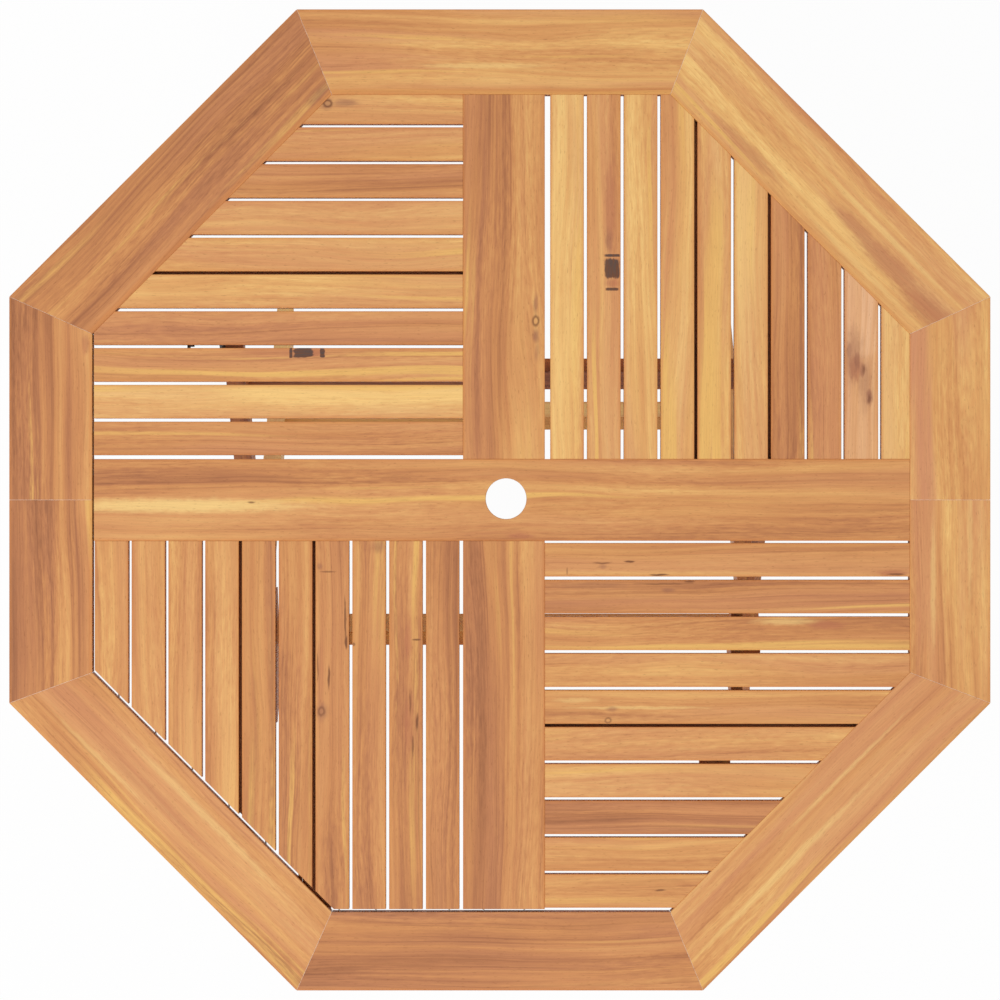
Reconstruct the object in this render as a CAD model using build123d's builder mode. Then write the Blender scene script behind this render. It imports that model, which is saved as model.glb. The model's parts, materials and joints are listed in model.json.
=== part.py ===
from build123d import *
import os
from math import atan2, cos, degrees, floor, radians, sin, sqrt

os.makedirs("parts", exist_ok=True)

# Table top
across_flats = 1200.0
table_height = 750.0
board_width = 100.0
board_thick = 25.0
slat_width = 41.0
slat_gap = 4.0
slat_thick = 20.0
narrowest_slat = 15.0
cross_shift = 5.0
inner_shift_x = 1.5
inner_shift_y = -4.0
mitre_gap = 0.4
left_joint = 1.9
diagonal_joint = 4.2
front_joint = 3.5
edge_ease = 0.6

# First gap between the centre cross and the slats of each quarter
rear_left_gap = 4.8
rear_right_gap = 6.8
front_left_gap = 4.4
front_right_gap = 2.8

# Parasol hole in the centre board
parasol_radius = 25.0
parasol_x = 7.7
parasol_y = 1.5

# Stub tenons of the slats and boards, held in a groove along the boards
tenon_length = 10.0
tenon_thick = 7.0
slat_tenon_width = 14.0
board_tenon_width = 60.0
tenon_drop = 9.0
joint_slack = 0.2

# Dowels of the frame's mitres and of the leg rails
dowel_radius = 4.0
dowel_length = 50.0
glue_gap = 0.1
mitre_dowel_inset = 32.0
mitre_dowel_spacing = 42.0

# Steel pins across the open joint at the front left
pin_radius = 1.0
pin_bite = 12.0
pin_offset = 8.0
board_pin_spacing = 50.0

# Battens, lapped under the boards at their ends, front cleat and their screws
batten_width = 40.0
batten_thick = 15.0
batten_end_room = 0.5
batten_end_inset = 45.0
batten_lap = 35.0
lap_screw_inset = 18.0
batten_room = 1.0
across_batten_gap = 5
screw_radius = 2.0
screw_head_radius = 4.0
screw_head_height = 2.5
screw_bite = 12.0
cleat_length = 38.0
cleat_width = 60.0
cleat_x = 264.0
cleat_screw_step = 14.0

# Scissor legs
leg_width = 45.0
leg_thick = 23.0
leg_inside_half = 294.5
washer_thick = 5.0
washer_radius = 12.0
cross_height = 391.0
pivot_y = 177.0
pivot_drop = 57.0
glide_radius = 10.0
glide_thick = 4.0
glide_ease = 1.0

# Rails between the legs, with their distance from the crossing along the leg. The inner legs'
# upper rail has its middle at a drop below the slats instead, where the catch blocks hold it.
rail_width = 41.0
rail_thick = 20.0
outer_upper_reach = 245.0
outer_lower_reach = 273.0
inner_upper_drop = 86.2026
inner_lower_reach = 212.0
rail_dowel_spread = 11.0
rail_dowel_bite = 12.0
rail_screw_radius = 2.5
rail_screw_head_radius = 5.0
rail_screw_head_height = 4.0
rail_screw_bite = 26.0

# Catch blocks that rest on the inner legs' upper rail
catch_thick = 14.0
catch_leg_room = 1.5
catch_rear_reach = 54.0
catch_front_reach = 112.0
catch_front_room = 3.0
catch_end_depth = 25.0
catch_hook_depth = 15.0
catch_hook_length = 40.0
catch_seat_room = 0.3
catch_screw_inset = 13.0

# Hinge brackets, pivot bolts and nuts
pivot_bolt_radius = 4.0
running_room = 0.05
spacer_length = 1.0
spacer_radius = 7.0
plate_thick = 3.0
flange_width = 18.0
flange_length = 38.0
flange_start = 14.0
ear_radius = 15.0
bolt_head_width = 13.0
bolt_head_height = 5.3
nut_height = 6.5
nut_recess_radius = 9.0
nut_recess_depth = 7.5
nut_room = 0.3

# Angle clips under the slats, outside the hinge brackets
clip_room = 8.5
clip_width = 8.7
clip_foot_width = 15.7
clip_front = 188.0
clip_foot_front = 193.0
clip_rear = 212.0
clip_leaf_front = 184.0
clip_drop = 18.0
clip_screw_room = 1.0

# Levels and places that follow from the sizes above
board_bottom = table_height - board_thick
slat_bottom = table_height - slat_thick
tenon_bottom = table_height - tenon_drop - tenon_thick
tenon_middle = tenon_bottom + tenon_thick / 2
outer_half = across_flats / 2
inner_half = outer_half - board_width
left_edge = inner_shift_x - inner_half
right_edge = inner_shift_x + inner_half
rear_edge = inner_shift_y + inner_half
front_edge = inner_shift_y - inner_half
cross_half = board_width / 2
cross_left = cross_shift - cross_half
cross_right = cross_shift + cross_half
slat_pitch = slat_width + slat_gap
pivot_height = board_bottom - pivot_drop
leg_angle = degrees(atan2(pivot_height - cross_height, pivot_y))
along_y = cos(radians(leg_angle))
along_z = sin(radians(leg_angle))
upper_leg = sqrt(pivot_y**2 + (pivot_height - cross_height) ** 2)
inner_upper_reach = (slat_bottom - inner_upper_drop - cross_height) / along_z
half_leg = leg_width / 2
inner_leg_out = leg_inside_half + leg_thick
outer_leg_in = inner_leg_out + washer_thick
outer_leg_out = outer_leg_in + leg_thick
ear_inside = outer_leg_out + spacer_length
ear_outside = ear_inside + plate_thick
clip_outside = ear_inside + flange_width + clip_room + clip_foot_width
half_turn = 22.5
eighth_turn = 45.0
stretch = 1 / cos(radians(half_turn))
corner_sum = inner_half * (1 + stretch * sin(radians(half_turn)))
sides = {"left": -1, "right": 1}
from_base = (Align.CENTER, Align.CENTER, Align.MIN)
upward = (0, 0, 1)
rearward = (0, 1, 0)


def save(builder, name):
    """Label a finished piece and write it."""
    builder.part.label = name
    export_step(builder.part, f"parts/{name}.step")


def ring_corner(half_width, degrees_round, shift_x=0.0, shift_y=0.0):
    """A corner of an octagon with the given half width across flats."""
    reach = half_width * stretch
    turn = radians(degrees_round)
    return (reach * cos(turn) + shift_x, reach * sin(turn) + shift_y)


def inner_outline(grow, left_room=0.0, diagonal_room=0.0, front_room=0.0):
    """The frame's inner edge, grown all round and drawn in at the left, front left and front."""
    half = inner_half + grow
    side = half * stretch * sin(radians(half_turn))
    drawn_left = half - left_room
    drawn_front = half - front_room
    drawn_sum = half + side - diagonal_room / cos(radians(eighth_turn))
    points = [
        (half, side),
        (side, half),
        (-side, half),
        (-drawn_left, half + side - drawn_left),
        (-drawn_left, drawn_left - drawn_sum),
        (drawn_front - drawn_sum, -drawn_front),
        (half + side - drawn_front, -drawn_front),
        (half, -side),
    ]
    return [(x + inner_shift_x, y + inner_shift_y) for x, y in points]


def rod(origin, direction, radius, length, mode=Mode.ADD):
    """A round rod or hole from a point along a direction."""
    with Locations(Plane(origin=origin, z_dir=direction)):
        Cylinder(radius, length, align=from_base, mode=mode)


def on_outer(reach, back):
    """A point of the outer legs: reach up from the crossing, back from the leg's middle line."""
    return (along_y * reach + along_z * back, cross_height + along_z * reach - along_y * back)


def on_inner(reach, front):
    """A point of the inner legs: reach up from the crossing, front across the leg's middle line."""
    return (-along_y * reach + along_z * front, cross_height + along_z * reach + along_y * front)


# Battens under the slats, in the middle of a gap between two slats. Those that run across
# (along X) have a Y centre line, those that run lengthwise (along Y) have an X centre line.
def gap_middle(cross_edge, outward, first_gap, gap_number):
    """Middle of a gap between slats, counted outward from the one beside the centre cross."""
    return cross_edge + outward * (first_gap + gap_number * slat_pitch - slat_gap / 2)


def last_gap_inside(reach, first_gap):
    """Number of the last gap whose batten stays inside a reach from the middle of the cross."""
    room = reach - batten_room - batten_width / 2 - cross_half - first_gap + slat_gap / 2
    return floor(room / slat_pitch)


# The lengthwise battens stand clear of the catch blocks and of the hinge brackets
catch_inside = leg_inside_half - catch_leg_room - catch_thick
front_left_inner_gap = last_gap_inside(catch_inside, front_left_gap)
front_left_outer_gap = front_left_inner_gap + 2
rear_right_outer_gap = last_gap_inside(ear_inside, rear_right_gap)
rear_right_inner_gap = rear_right_outer_gap - 2
rear_left_line = gap_middle(cross_half, 1, rear_left_gap, across_batten_gap)
front_right_line = gap_middle(-cross_half, -1, front_right_gap, across_batten_gap)
rear_right_inner_line = gap_middle(cross_right, 1, rear_right_gap, rear_right_inner_gap)
rear_right_outer_line = gap_middle(cross_right, 1, rear_right_gap, rear_right_outer_gap)
front_left_inner_line = gap_middle(cross_left, -1, front_left_gap, front_left_inner_gap)
front_left_outer_line = gap_middle(cross_left, -1, front_left_gap, front_left_outer_gap)
batten_lines = {
    "rear_left_batten": ("across", rear_left_line, -1),
    "front_right_batten": ("across", front_right_line, 1),
    "rear_right_inner_batten": ("lengthwise", rear_right_inner_line, 1),
    "rear_right_outer_batten": ("lengthwise", rear_right_outer_line, 1),
    "front_left_inner_batten": ("lengthwise", front_left_inner_line, -1),
    "front_left_outer_batten": ("lengthwise", front_left_outer_line, -1),
}
short_battens = ["front_left_outer_batten"]


def batten_ends(direction, line, outward):
    """Where a batten's middle line meets the edge of the cross and of the frame."""
    if direction == "across":
        near = cross_right if outward > 0 else cross_left
        reach = min(inner_half, corner_sum - abs(line - inner_shift_y))
        return (near, inner_shift_x + outward * reach)
    reach = min(inner_half, corner_sum - abs(line - inner_shift_x))
    return (outward * cross_half, inner_shift_y + outward * reach)


def batten_points(direction, line, ends, steps):
    """Points at some places along a batten and some steps to its sides."""
    points = [(end, line + step) for end in ends for step in steps]
    return points if direction == "across" else [(x, y) for y, x in points]


def batten_screw_points(direction, line, outward):
    """Two screws near each end, one in each of the slats beside the gap."""
    near, far = batten_ends(direction, line, outward)
    side_step = (batten_width + slat_gap) / 4
    ends = (near + outward * batten_end_inset, far - outward * batten_end_inset)
    return batten_points(direction, line, ends, (-side_step, side_step))


def lap_screw_points(name):
    """One screw up into the board at each lapped end of a batten."""
    direction, line, outward = batten_lines[name]
    near, far = batten_ends(direction, line, outward)
    ends = [near - outward * lap_screw_inset]
    if name not in short_battens:
        ends.append(far + outward * lap_screw_inset / cos(radians(eighth_turn)))
    return batten_points(direction, line, ends, [0])


board_screw_points = []
for name in batten_lines:
    board_screw_points += lap_screw_points(name)


def drill_board_screws():
    """Holes for the screws that come up through the laps of the battens."""
    for x, y in board_screw_points:
        rod((x, y, board_bottom), upward, screw_radius + glue_gap, screw_bite + glue_gap, Mode.SUBTRACT)


# Steel pins hold the slats and the cross board across the open joint at the front left
pin_lines = [cross_shift - board_pin_spacing / 2, cross_shift + board_pin_spacing / 2]
pin_line = cross_left - front_left_gap - slat_width / 2
while pin_line > left_edge + narrowest_slat:
    pin_lines.append(pin_line + pin_offset)
    pin_line -= slat_pitch
pin_length = 2 * pin_bite + diagonal_joint / cos(radians(eighth_turn))
pins = []
for x in pin_lines:
    diagonal_edge = inner_shift_x + inner_shift_y - corner_sum - x
    pins.append((x, max(front_edge, diagonal_edge) - pin_bite, tenon_middle))


def drive_pins(radius, mode=Mode.ADD):
    """The pins, or the holes for them."""
    for start in pins:
        rod(start, rearward, radius, pin_length, mode)


with BuildPart() as front_pins:
    drive_pins(pin_radius)
save(front_pins, "front_pins")


# Frame boards: an octagonal ring, mitred at the corners with a hairline gap, with a groove for the
# stub tenons. The left and right sides are two half lengths butted in the middle.
face_names = [
    "right",
    "rear_right_diagonal",
    "rear",
    "rear_left_diagonal",
    "left",
    "front_left_diagonal",
    "front",
    "front_right_diagonal",
]
butted_faces = {"right": ("right_front", "right_rear"), "left": ("left_rear", "left_front")}
mitre_turns = [half_turn + eighth_turn * corner for corner in range(len(face_names))]
mitre_reach = inner_half * stretch + mitre_dowel_inset
longest_mitre = 1.5 * board_width
pinned_boards = ["front_left_diagonal", "front"]
frame_dowels = []
for turn in mitre_turns:
    tangent = (-sin(radians(turn)), cos(radians(turn)), 0)
    for reach in (mitre_reach, mitre_reach + mitre_dowel_spacing):
        middle = Vector(reach * cos(radians(turn)), reach * sin(radians(turn)), tenon_middle)
        frame_dowels.append((middle - Vector(tangent) * dowel_length / 2, tangent))
for side in sides.values():
    for reach in (inner_half + mitre_dowel_inset, inner_half + mitre_dowel_inset + mitre_dowel_spacing):
        start = Vector(side * reach, -dowel_length / 2, tenon_middle)
        frame_dowels.append((start, rearward))


def make_frame_board(name, points):
    """One board of the octagonal frame from its four corners."""
    with BuildPart() as board:
        with BuildSketch(Plane.XY.offset(board_bottom)):
            with BuildLine():
                Polyline(*points, close=True)
            make_face()
        extrude(amount=board_thick)
        for corner, neighbour in ((points[0], points[1]), (points[3], points[2])):
            along = Vector(*neighbour) - Vector(*corner)
            middle = (Vector(*corner) + Vector(*neighbour)) / 2
            with Locations(Plane(origin=(middle.X, middle.Y, board_bottom), x_dir=(along.X, along.Y, 0))):
                Box(2 * along.length, mitre_gap, board_thick, align=from_base, mode=Mode.SUBTRACT)
        top_edges = board.edges().group_by(Axis.Z)[-1]
        chamfer([edge for edge in top_edges if edge.length > longest_mitre], length=edge_ease)
        if name not in pinned_boards:
            with BuildSketch(Plane.XY.offset(tenon_bottom - joint_slack)):
                with BuildLine():
                    Polyline(*inner_outline(tenon_length + joint_slack), close=True)
                make_face()
            extrude(amount=tenon_thick + 2 * joint_slack, mode=Mode.SUBTRACT)
        for start, direction in frame_dowels:
            rod(start, direction, dowel_radius + glue_gap, dowel_length, Mode.SUBTRACT)
        drill_board_screws()
        drive_pins(pin_radius + glue_gap, Mode.SUBTRACT)
    save(board, f"{name}_frame_board")


for face, name in enumerate(face_names):
    first = face * eighth_turn - half_turn
    last = face * eighth_turn + half_turn
    outer_first = ring_corner(outer_half, first)
    outer_last = ring_corner(outer_half, last)
    inner_first = ring_corner(inner_half, first, inner_shift_x, inner_shift_y)
    inner_last = ring_corner(inner_half, last, inner_shift_x, inner_shift_y)
    if name in butted_faces:
        side = sides[name]
        outer_middle = (side * outer_half, 0)
        inner_middle = (inner_shift_x + side * inner_half, 0)
        first_name, last_name = butted_faces[name]
        make_frame_board(first_name, [inner_first, outer_first, outer_middle, inner_middle])
        make_frame_board(last_name, [inner_middle, outer_middle, outer_last, inner_last])
    else:
        make_frame_board(name, [inner_first, outer_first, outer_last, inner_last])

with BuildPart() as dowels:
    for start, direction in frame_dowels:
        rod(start, direction, dowel_radius, dowel_length)
save(dowels, "frame_dowels")


# Centre cross: one full board with the parasol hole, and two boards that butt it
cross_groove = tenon_length + joint_slack
left_end = left_edge + left_joint
front_end = front_edge + front_joint

with BuildPart() as centre_board:
    with BuildSketch(Plane.XY.offset(board_bottom)):
        with Locations(((left_end + right_edge) / 2, 0)):
            Rectangle(right_edge - left_end, board_width)
        with Locations((parasol_x, parasol_y)):
            Circle(parasol_radius, mode=Mode.SUBTRACT)
    extrude(amount=board_thick)
    chamfer(centre_board.edges().group_by(Axis.Z)[-1], length=edge_ease)
    with BuildSketch(Plane.XY.offset(tenon_bottom - joint_slack)):
        with GridLocations(0, board_width - cross_groove, 1, 2):
            Rectangle(2 * outer_half, cross_groove)
    extrude(amount=tenon_thick + 2 * joint_slack, mode=Mode.SUBTRACT)
    with BuildSketch(Plane.XY.offset(tenon_bottom)):
        with Locations((left_edge, 0), (right_edge, 0)):
            Rectangle(2 * tenon_length, board_tenon_width)
    extrude(amount=tenon_thick)
    drill_board_screws()
save(centre_board, "centre_board")


def make_cross_board(name, near_end, far_end, outward):
    """A board from the centre board to the rear or front of the frame."""
    length = abs(far_end - near_end)
    middle = (near_end + far_end) / 2
    with BuildPart() as board:
        with BuildSketch(Plane.XY.offset(board_bottom)):
            with Locations((cross_shift, middle)):
                Rectangle(board_width, length)
        extrude(amount=board_thick)
        chamfer(board.edges().group_by(Axis.Z)[-1], length=edge_ease)
        with BuildSketch(Plane.XY.offset(tenon_bottom - joint_slack)):
            with Locations((cross_shift, middle)):
                with GridLocations(board_width - cross_groove, 0, 2, 1):
                    Rectangle(cross_groove, length)
        extrude(amount=tenon_thick + 2 * joint_slack, mode=Mode.SUBTRACT)
        tongue_ends = [near_end, far_end] if outward > 0 else [near_end]
        with BuildSketch(Plane.XY.offset(tenon_bottom)):
            with Locations(*[(cross_shift, end) for end in tongue_ends]):
                Rectangle(board_tenon_width, 2 * tenon_length)
        extrude(amount=tenon_thick)
        drill_board_screws()
        drive_pins(pin_radius + glue_gap, Mode.SUBTRACT)
    save(board, f"{name}_cross_board")


make_cross_board("rear", cross_half, rear_edge, 1)
make_cross_board("front", -cross_half, front_end, -1)


# The cleat bridges one slat gap in front of the front right batten
cleat_y = front_right_line - batten_width / 2 - joint_slack - cleat_width / 2
cleat_gap = gap_middle(-cross_half, -1, front_right_gap, across_batten_gap + 1)
cleat_screw_points = [(cleat_x, cleat_gap + cleat_screw_step), (cleat_x, cleat_gap - cleat_screw_step)]

# Catch blocks reach from behind the inner legs' upper rail to the front.
# The right one stops behind the front right batten.
catch_rail_y, catch_rail_z = on_inner(inner_upper_reach, 0)
catch_rear = catch_rail_y + catch_rear_reach
catch_fronts = {
    "left": catch_rail_y - catch_front_reach,
    "right": front_right_line + batten_width / 2 + catch_front_room,
}
catch_screw_points = {}
for name, side in sides.items():
    catch_x = cross_shift + side * (catch_inside + catch_thick / 2)
    catch_screw_points[name] = [
        (catch_x, catch_rear - catch_screw_inset),
        (catch_x, catch_fronts[name] + catch_screw_inset),
    ]

# Hinge bracket flanges lie under the slats beside the top pivots
flange_y_start = pivot_y + flange_start
flange_y_end = flange_y_start + flange_length
bracket_screw_points = {}
for name, side in sides.items():
    flange_x = cross_shift + side * (ear_outside + flange_width) / 2 + side * ear_inside / 2
    bracket_screw_points[name] = [
        (flange_x, flange_y_start + flange_length / 4),
        (flange_x, flange_y_end - flange_length / 4),
    ]

# Angle clips have a foot under the slats and an upright leaf
clip_screw_points = []
for side in sides.values():
    clip_screw_x = cross_shift + side * (clip_outside - clip_foot_width + screw_head_radius + clip_screw_room)
    clip_screw_points.append((clip_screw_x, (clip_foot_front + clip_rear) / 2))

slat_screw_points = cleat_screw_points + clip_screw_points
for direction, line, outward in batten_lines.values():
    slat_screw_points += batten_screw_points(direction, line, outward)
for name in sides:
    slat_screw_points += catch_screw_points[name]
    slat_screw_points += bracket_screw_points[name]


# Slats: four quarters laid as a pinwheel, their outer ends cut along the frame.
# Stub tenons hold their ends, and pins take their place across the open joint.
def make_slats(name, direction, cross_edge, outward, first_gap, butt_edge, butt_outward, pinned=False):
    """One quarter of slats, side by side outward from the cross and butted against the other board."""
    far = butt_outward * outer_half
    tenon_near = butt_edge - butt_outward * tenon_length
    tenon_far = butt_edge + butt_outward * tenon_length if pinned else far
    slat_field = inner_outline(0, left_joint, diagonal_joint, front_joint)
    tenon_field = inner_outline(tenon_length)
    with BuildPart() as slats:
        step = first_gap
        while step < inner_half - abs(cross_edge) - narrowest_slat:
            line = cross_edge + outward * (step + slat_width / 2)
            for field, near, end, width, level, height in (
                (slat_field, butt_edge, far, slat_width, slat_bottom, slat_thick),
                (tenon_field, tenon_near, tenon_far, slat_tenon_width, tenon_bottom, tenon_thick),
            ):
                with BuildSketch(Plane.XY.offset(level)):
                    if direction == "across":
                        with Locations(((near + end) / 2, line)):
                            Rectangle(abs(end - near), width)
                    else:
                        with Locations((line, (near + end) / 2)):
                            Rectangle(width, abs(end - near))
                    with BuildLine():
                        Polyline(*field, close=True)
                    make_face(mode=Mode.INTERSECT)
                extrude(amount=height)
            step += slat_pitch
        chamfer(slats.edges().group_by(Axis.Z)[-1], length=edge_ease)
        with BuildSketch(Plane.XY.offset(slat_bottom)):
            with Locations(*slat_screw_points):
                Circle(screw_radius + glue_gap)
        extrude(amount=screw_bite + glue_gap, mode=Mode.SUBTRACT)
        if pinned:
            drive_pins(pin_radius + glue_gap, Mode.SUBTRACT)
    save(slats, f"{name}_slats")


make_slats("rear_left", "across", cross_half, 1, rear_left_gap, cross_left, -1)
make_slats("rear_right", "lengthwise", cross_right, 1, rear_right_gap, cross_half, 1)
make_slats("front_left", "lengthwise", cross_left, -1, front_left_gap, -cross_half, -1, pinned=True)
make_slats("front_right", "across", -cross_half, -1, front_right_gap, cross_right, 1)


def sink_screw_holes(points, bottom, top):
    """Countersunk screw holes from the underside of a piece to its top."""
    for x, y in points:
        start = (x, y, bottom)
        rod(start, upward, screw_radius + glue_gap, top - bottom, Mode.SUBTRACT)
        rod(start, upward, screw_head_radius + glue_gap, screw_head_height, Mode.SUBTRACT)


def drive_screws(points, bottom, tip):
    """Screws with their heads sunk at the underside level and their tips up in the slats."""
    for x, y in points:
        start = (x, y, bottom)
        rod(start, upward, screw_head_radius, screw_head_height)
        rod(start, upward, screw_radius, tip - bottom)


# A batten's upper part fits between the boards, and its lower part laps under them
batten_bottom = slat_bottom - batten_thick
for name, (direction, line, outward) in batten_lines.items():
    near = batten_ends(direction, line, outward)[0]
    far = outward * outer_half
    short_of_joint = -diagonal_joint - batten_end_room
    lap_grow, clear_grow = batten_lap, -batten_end_room
    if name in short_battens:
        lap_grow = clear_grow = short_of_joint
    with BuildPart() as batten:
        for start, grow, level, height in (
            (near - outward * batten_lap, lap_grow, batten_bottom, board_bottom - batten_bottom),
            (near + outward * batten_end_room, clear_grow, board_bottom, slat_bottom - board_bottom),
        ):
            with BuildSketch(Plane.XY.offset(level)):
                if direction == "across":
                    with Locations(((start + far) / 2, line)):
                        Rectangle(abs(far - start), batten_width)
                else:
                    with Locations((line, (start + far) / 2)):
                        Rectangle(batten_width, abs(far - start))
                with BuildLine():
                    Polyline(*inner_outline(grow), close=True)
                make_face(mode=Mode.INTERSECT)
            extrude(amount=height)
        chamfer(batten.edges().group_by(Axis.Z)[0], length=edge_ease)
        sink_screw_holes(batten_screw_points(direction, line, outward), batten_bottom, slat_bottom)
        sink_screw_holes(lap_screw_points(name), batten_bottom, board_bottom)
    save(batten, name)

with BuildPart() as cleat:
    with BuildSketch(Plane.XY.offset(batten_bottom)):
        with Locations((cleat_x, cleat_y)):
            Rectangle(cleat_length, cleat_width)
    extrude(amount=batten_thick)
    chamfer(cleat.edges().group_by(Axis.Z)[0], length=edge_ease)
    sink_screw_holes(cleat_screw_points, batten_bottom, slat_bottom)
save(cleat, "front_cleat")

screw_tip = slat_bottom + screw_bite
with BuildPart() as batten_screws:
    for direction, line, outward in batten_lines.values():
        drive_screws(batten_screw_points(direction, line, outward), batten_bottom, screw_tip)
    drive_screws(cleat_screw_points, batten_bottom, screw_tip)
    drive_screws(board_screw_points, batten_bottom, board_bottom + screw_bite)
save(batten_screws, "batten_screws")


# Catch blocks: a sloping seat over the inner legs' upper rail and a hook in front of it
rail_half = rail_width / 2 + catch_seat_room
seat_rear = on_inner(inner_upper_reach + rail_half, rail_thick / 2)
seat_front = on_inner(inner_upper_reach + rail_half, -rail_thick / 2 - catch_seat_room)
catch_end_level = slat_bottom - catch_end_depth
seat_slope = along_y / along_z
ramp_level = seat_rear[1] + (catch_rear - seat_rear[0]) * seat_slope
hook_level = catch_rail_z - catch_hook_depth
for name, side in sides.items():
    catch_outline = [
        (catch_fronts[name], slat_bottom),
        (catch_fronts[name], catch_end_level),
        (seat_front[0] - catch_hook_length, hook_level),
        (seat_front[0], hook_level),
        seat_front,
        (catch_rear, ramp_level),
        (catch_rear, slat_bottom),
    ]
    catch_x = cross_shift + side * (catch_inside + catch_thick / 2) - catch_thick / 2
    with BuildPart() as catch_block:
        with BuildSketch(Plane.YZ.offset(catch_x)):
            with BuildLine():
                Polyline(*catch_outline, close=True)
            make_face()
        extrude(amount=catch_thick)
        with BuildSketch(Plane.XY.offset(catch_end_level)):
            with Locations(*catch_screw_points[name]):
                Circle(screw_radius + glue_gap)
        extrude(amount=catch_end_depth, mode=Mode.SUBTRACT)
        with BuildSketch(Plane.XY.offset(hook_level)):
            with Locations(*catch_screw_points[name]):
                Circle(screw_head_radius + glue_gap)
        extrude(amount=catch_end_level + screw_head_height - hook_level, mode=Mode.SUBTRACT)
    save(catch_block, f"{name}_catch_block")

with BuildPart() as catch_screws:
    for name in sides:
        drive_screws(catch_screw_points[name], catch_end_level, screw_tip)
save(catch_screws, "catch_block_screws")


# Hinge brackets: a steel angle with an ear for the pivot bolt and a flange under the slats
flange_bottom = slat_bottom - plate_thick
for name, side in sides.items():
    ear_x = cross_shift + side * (ear_inside + plate_thick / 2) - plate_thick / 2
    flange_x = cross_shift + side * (ear_inside + flange_width / 2)
    with BuildPart() as bracket:
        with BuildSketch(Plane.YZ.offset(ear_x)):
            with Locations((pivot_y, pivot_height)):
                Circle(ear_radius)
            ear_points = [
                (pivot_y - ear_radius, pivot_height),
                (pivot_y + ear_radius, pivot_height),
                (flange_y_end, slat_bottom),
                (flange_y_start, slat_bottom),
            ]
            with BuildLine():
                Polyline(*ear_points, close=True)
            make_face()
            with Locations((pivot_y, pivot_height)):
                Circle(pivot_bolt_radius + glue_gap, mode=Mode.SUBTRACT)
        extrude(amount=plate_thick)
        with BuildSketch(Plane.XY.offset(flange_bottom)):
            with Locations((flange_x, (flange_y_start + flange_y_end) / 2)):
                Rectangle(flange_width, flange_length)
            with Locations(*bracket_screw_points[name]):
                Circle(screw_radius + glue_gap, mode=Mode.SUBTRACT)
        extrude(amount=plate_thick)
    save(bracket, f"{name}_hinge_bracket")

for name, side in sides.items():
    clip_outline = [
        (clip_outside, clip_front),
        (clip_outside, clip_rear),
        (clip_outside - clip_foot_width, clip_rear),
        (clip_outside - clip_foot_width, clip_foot_front),
        (clip_outside - clip_width, clip_foot_front),
        (clip_outside - clip_width, clip_front),
    ]
    leaf_x = cross_shift + side * (clip_outside - plate_thick / 2)
    with BuildPart() as clip:
        with BuildSketch(Plane.XY.offset(flange_bottom)):
            with BuildLine():
                Polyline(*[(cross_shift + side * x, y) for x, y in clip_outline], close=True)
            make_face()
            with Locations(*clip_screw_points):
                Circle(screw_radius + glue_gap, mode=Mode.SUBTRACT)
        extrude(amount=plate_thick)
        with BuildSketch(Plane.XY.offset(slat_bottom)):
            with Locations((leaf_x, (clip_leaf_front + clip_rear) / 2)):
                Rectangle(plate_thick, clip_rear - clip_leaf_front)
        extrude(amount=-clip_drop)
    save(clip, f"{name}_angle_clip")

with BuildPart() as bracket_screws:
    for name in sides:
        drive_screws(bracket_screw_points[name], flange_bottom - screw_head_height, screw_tip)
    drive_screws(clip_screw_points, flange_bottom - screw_head_height, screw_tip)
save(bracket_screws, "bracket_screws")

with BuildPart() as pivot_spacers:
    for side in sides.values():
        start = (cross_shift + side * outer_leg_out, pivot_y, pivot_height)
        rod(start, (side, 0, 0), spacer_radius, spacer_length)
        rod(start, (side, 0, 0), pivot_bolt_radius + glue_gap, spacer_length, Mode.SUBTRACT)
save(pivot_spacers, "pivot_spacers")

bolt_tip = outer_leg_in + nut_recess_depth - nut_room - nut_height
with BuildPart() as pivot_bolts:
    for side in sides.values():
        seat = (cross_shift + side * ear_outside, pivot_y, pivot_height)
        with BuildSketch(Plane(origin=seat, z_dir=(side, 0, 0))):
            RegularPolygon(radius=bolt_head_width / 2, side_count=6, major_radius=False)
        extrude(amount=bolt_head_height)
        rod(seat, (-side, 0, 0), pivot_bolt_radius, ear_outside - bolt_tip)
save(pivot_bolts, "top_pivot_bolts")

with BuildPart() as pivot_nuts:
    for side in sides.values():
        start = (cross_shift + side * bolt_tip, pivot_y, pivot_height)
        with BuildSketch(Plane(origin=start, z_dir=(side, 0, 0))):
            RegularPolygon(radius=bolt_head_width / 2, side_count=6, major_radius=False)
        extrude(amount=nut_height)
        rod(start, (side, 0, 0), pivot_bolt_radius + glue_gap, nut_height, Mode.SUBTRACT)
save(pivot_nuts, "top_pivot_nuts")


# Rail joints, shared by the rails and the legs that hold them
inner_rail_reaches = {"inner_upper_rail": inner_upper_reach, "inner_lower_rail": -inner_lower_reach}
inner_rail_dowels = []
for reach in inner_rail_reaches.values():
    for side in sides.values():
        for spread in (-rail_dowel_spread, rail_dowel_spread):
            y, z = on_inner(reach + spread, 0)
            outer_end = cross_shift + side * (leg_inside_half + rail_dowel_bite)
            inner_dowel = (Vector(outer_end, y, z), (-side, 0, 0))
            inner_rail_dowels.append(inner_dowel)

outer_rail_faces = {
    "outer_upper_rail": (outer_upper_reach, 1),
    "outer_lower_rail": (-outer_lower_reach, -1),
}
outer_rail_screws = []
for reach, facing in outer_rail_faces.values():
    for side in sides.values():
        for spread in (-rail_dowel_spread, rail_dowel_spread):
            y, z = on_outer(reach + spread, facing * (half_leg + rail_thick))
            screw_x = cross_shift + side * (outer_leg_in + leg_thick / 2)
            inward = (0, -facing * along_z, facing * along_y)
            outer_rail_screws.append((Vector(screw_x, y, z), inward))


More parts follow.
